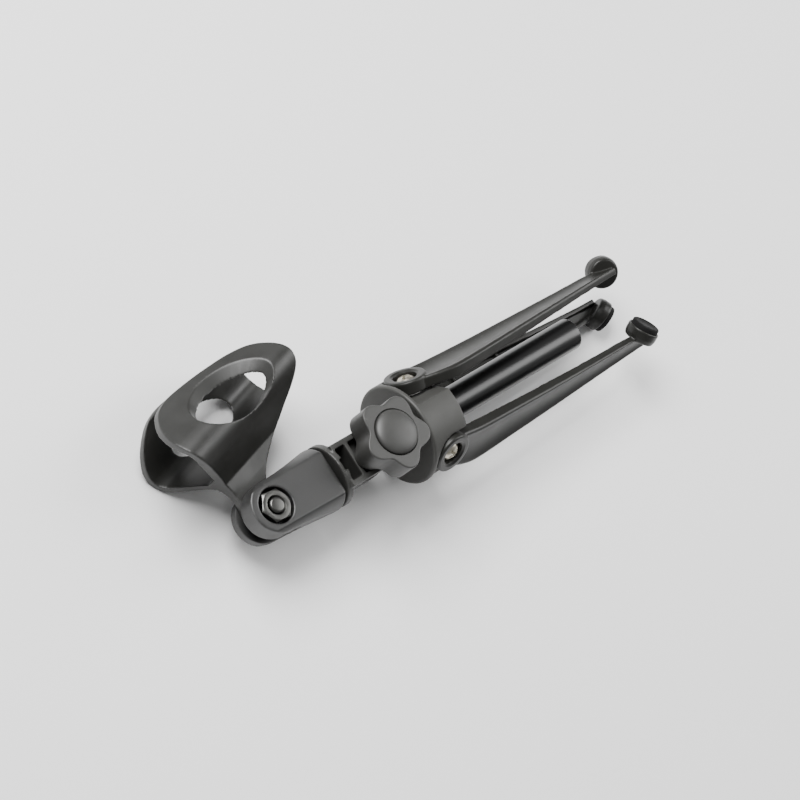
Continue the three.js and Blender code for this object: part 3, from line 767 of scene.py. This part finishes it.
# Oval opening of a wing: centre along the mic, centre height, half length, half width.
HOLE_OUTER = (18.6, 38.9, 18.6, 9.9)
HOLE_INNER = (16.2, 36.1, 15, 7.2)
HOLE_TILT = -9
HOLE_DEPTH = 4.4                # how far down the sloping wall of an opening reaches
HOLE_OVERRUN = 4                # how far the cutter runs past the wing's outer face


def offset_inward(profile, distance):
    moved = []
    for i, (height, out) in enumerate(profile):
        h0, o0 = profile[max(i - 1, 0)]
        h1, o1 = profile[min(i + 1, len(profile) - 1)]
        length = math.hypot(h1 - h0, o1 - o0)
        moved.append((height + (o1 - o0) / length * distance, out - (h1 - h0) / length * distance))
    return moved


def clip_section():
    outer = spline(WING_PROFILE, CURVE_STEPS)
    inner = [
        (height, out) for height, out in offset_inward(outer, CLIP_WALL)
        if out > LEAST_HALF_GAP and height > THROAT_HEIGHT
    ]
    half = [(-12, TONGUE_HALF), (12, TONGUE_HALF), *outer, *reversed(inner)]
    return half + [(height, -out) for height, out in reversed(half)]


def wing_face(height):
    """Distance of a wing's outer face from the middle plane."""
    outer = spline(WING_PROFILE, CURVE_STEPS)
    for (low, near), (high, far) in zip(outer, outer[1:]):
        if height <= high:
            return near + (far - near) * (height - low) / (high - low)
    return outer[-1][1]


def hole_ring(oval, depth, side):
    """Ring round an opening, at a depth below the wing's outer face."""
    middle, height, long, short = oval
    steps = 120
    tilt = math.radians(HOLE_TILT)
    ring = []
    for i in range(steps):
        angle = 2 * math.pi * i / steps
        along = long * math.cos(angle)
        across = short * math.sin(angle)
        up = height + along * math.sin(tilt) + across * math.cos(tilt)
        out = max(wing_face(up) - depth, 0)
        ring.append((middle + along * math.cos(tilt) - across * math.sin(tilt), up, side * out))
    return ring


def wing_hole(side):
    """Cutter for one wing's opening; its wall slopes in all the way round."""
    levels = [
        (HOLE_OUTER, -HOLE_OVERRUN),
        (HOLE_OUTER, 0),
        (HOLE_INNER, HOLE_DEPTH),
        (HOLE_INNER, 2 * WING_WIDEST),
    ]
    return rings_solid([hole_ring(oval, depth, side) for oval, depth in levels])


def make_clip():
    section = clip_section()
    body = rings_solid([[(x, height, out) for height, out in section] for x in CLIP_REACH])
    side = prism(spline(CLIP_OUTLINE, CURVE_STEPS, closed=True), -THROUGH, THROUGH)
    body = combine(body, [side], "INTERSECT")
    cut(body, wing_hole(1), wing_hole(-1), bar(BOLT_RADIUS + GAP, -THROUGH, THROUGH, steps=48))
    soften(body, grain=0.32, passes=6)
    place = shift(CLIP_X, 0, CLIP_CENTRE_Z) @ turn("Z", CLIP_ANGLE)
    body.data.transform(place @ Matrix.Scale(CLIP_SHRINK, 4))
    return body


# ------------------------------------------------------------------ assembly

def build_object(paint):
    finish_piece(make_hub(), "hub_shell", "base", "hub", "charcoal_moulding", paint["charcoal"])
    leg = make_leg()
    pad = make_foot_pad()
    screw = make_leg_screw()
    for letter in LEG_DIRECTIONS:
        body = f"leg_{letter}_body"
        parts = (
            (leg, True, f"leg_{letter}_shell", body, f"leg_{letter}", "leg_moulding", "leg"),
            (pad, True, f"foot_pad_{letter}_rubber", body, f"foot_pad_{letter}", "black_rubber", "rubber"),
            (
                screw, False, f"leg_screw_{letter}_head", "base", f"leg_screw_{letter}",
                "nickel_plate", "nickel",
            ),
        )
        for original, swings, name, rides, node, slot, look in parts:
            piece = bpy.data.objects.new(name, original.data.copy())
            bpy.context.collection.objects.link(piece)
            piece.data.transform(leg_place(letter, swings))
            finish_piece(piece, name, rides, node, slot, paint[look])
    for original in (leg, pad, screw):
        bpy.data.objects.remove(original)
    machined = 20
    rows = (
        (make_tube(), "tube_skin", "mast", "height_tube", "gloss_tube", "tube"),
        (make_arm(), "arm_shell", "arm", "tilt_arm", "charcoal_moulding", "knob"),
        (make_knob(), "knob_shell", "knob", "clamp_knob", "charcoal_moulding", "knob"),
        (make_knob_cap(), "knob_dome", "knob", "knob_cap", "charcoal_moulding", "knob"),
        (make_adapter(), "adapter_shell", "arm", "clip_adapter", "adapter_moulding", "adapter"),
        (make_clip_nut(), "clip_nut_hex", "arm", "clip_nut", "dark_steel", "steel", machined),
        (make_clip_bolt(), "clip_bolt_rod", "arm", "clip_bolt", "dark_steel", "steel", machined),
        (make_clip(), "clip_shell", "clip", "mic_clip", "clip_moulding", "clip"),
    )
    for shape, name, body, node, slot, look, *angle in rows:
        finish_piece(shape, name, body, node, slot, paint[look], *angle)


def paint_cad_nodes(paint):
    """The small inner pieces keep their CAD shape and take a finished material."""
    looks = {
        "tube_cap": "clip", "tilt_lug": "clip", "clamp_bolt": "steel", "thread_stud": "steel",
        "thread_insert": "brass",
        "leg_washer_a": "nylon", "leg_washer_b": "nylon", "leg_washer_c": "nylon",
    }
    for node, look in looks.items():
        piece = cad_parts[node]
        for used in piece.material_slots:
            used.material = paint[look]


# ------------------------------------------------------------------ stage, light and camera

def make_floor():
    half = 3
    corners = [(-half, -half, 0), (half, -half, 0), (half, half, 0), (-half, half, 0)]
    mesh = bpy.data.meshes.new("floor")
    mesh.from_pydata(corners, [], [(0, 1, 2, 3)])
    floor = bpy.data.objects.new("floor", mesh)
    bpy.context.collection.objects.link(floor)
    material = bpy.data.materials.new("pale_floor")
    material.use_nodes = True
    shader = material.node_tree.nodes["Principled BSDF"]
    shader.inputs["Base Color"].default_value = (0.9, 0.9, 0.9, 1)
    shader.inputs["Roughness"].default_value = 0.9
    mesh.materials.append(material)


def make_light(name, place, target, size, power):
    data = bpy.data.lights.new(name, "AREA")
    data.shape = "RECTANGLE"
    data.size, data.size_y = size
    data.energy = power
    light = bpy.data.objects.new(name, data)
    bpy.context.collection.objects.link(light)
    light.location = place
    light.rotation_euler = (Vector(target) - Vector(place)).to_track_quat("-Z", "Y").to_euler()


def make_lights():
    world = bpy.data.worlds.new("studio")
    world.use_nodes = True
    world.node_tree.nodes["Background"].inputs["Color"].default_value = (1, 1, 1, 1)
    world.node_tree.nodes["Background"].inputs["Strength"].default_value = 0.33
    bpy.context.scene.world = world
    target = (0, 0, 0.02)
    make_light("key", place=(-0.25, 0.6, 0.85), target=target, size=(0.7, 0.6), power=25)
    make_light("sheen", place=(0.8, -0.2, 0.65), target=target, size=(0.5, 0.8), power=9)


CAMERA_FROM_HUB = (-0.50509, -0.04103, 0.7118)      # metres from the hub's front centre
CAMERA_TURN = (23.718, -27.966, -37.373)            # degrees about X, Y and Z
CAMERA_LENS = 105.65                                # mm on a 36 mm sensor


def make_camera():
    data = bpy.data.cameras.new("camera")
    data.lens = CAMERA_LENS
    data.sensor_width = 36
    camera = bpy.data.objects.new("camera", data)
    bpy.context.collection.objects.link(camera)
    camera.location = STAND @ Vector(CAMERA_FROM_HUB)
    camera.rotation_euler = Euler([math.radians(angle) for angle in CAMERA_TURN])
    bpy.context.scene.camera = camera


materials = make_materials()
build_object(materials)
paint_cad_nodes(materials)
make_floor()
make_lights()
make_camera()
